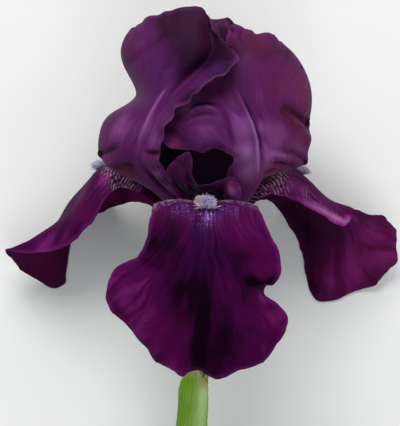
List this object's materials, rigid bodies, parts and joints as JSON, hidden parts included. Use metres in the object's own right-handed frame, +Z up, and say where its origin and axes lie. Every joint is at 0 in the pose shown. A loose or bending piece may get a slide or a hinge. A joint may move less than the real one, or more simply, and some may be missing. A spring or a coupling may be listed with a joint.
{
  "type": "bearded iris flower",
  "caption": "Cut bearded iris flower lying on its back: upright standards, bearded drooping falls, style arms, stamens, spathes and a short stem.",
  "frame": {"origin": "bottom centre of the bounding box, on the surface that the flower lies on", "axes": "+Z up out of the front fall, +Y along the flower from the cut end of its stem to its head, +X to the right seen from above with the head away from the viewer"},
  "size_m": [0.1464, 0.2496, 0.1001],
  "materials": {
    "fall_velvet": "matte",
    "standard_silk": "matte",
    "style_petal": "satin",
    "beard_hair": "matte",
    "filament_flesh": "satin",
    "anther_pollen": "matte",
    "tube_skin": "satin",
    "ovary_skin": "satin",
    "spathe_skin": "matte",
    "stem_skin": "satin"
  },
  "bodies": {
    "root": {"anther_front": "anther_pollen", "anther_left": "anther_pollen", "anther_right": "anther_pollen", "beard_front": "beard_hair", "beard_left": "beard_hair", "beard_right": "beard_hair", "fall_front": "fall_velvet", "fall_left": "fall_velvet", "fall_right": "fall_velvet", "filament_front": "filament_flesh", "filament_left": "filament_flesh", "filament_right": "filament_flesh", "ovary": "ovary_skin", "perianth_tube": "tube_skin", "spathe_inner": "spathe_skin", "spathe_outer": "spathe_skin", "standard_back": "standard_silk", "standard_left": "standard_silk", "standard_right": "standard_silk", "stem": "stem_skin", "style_arm_front": "style_petal", "style_arm_left": "style_petal", "style_arm_right": "style_petal", "style_column": "style_petal"}
  },
  "joints": []
}
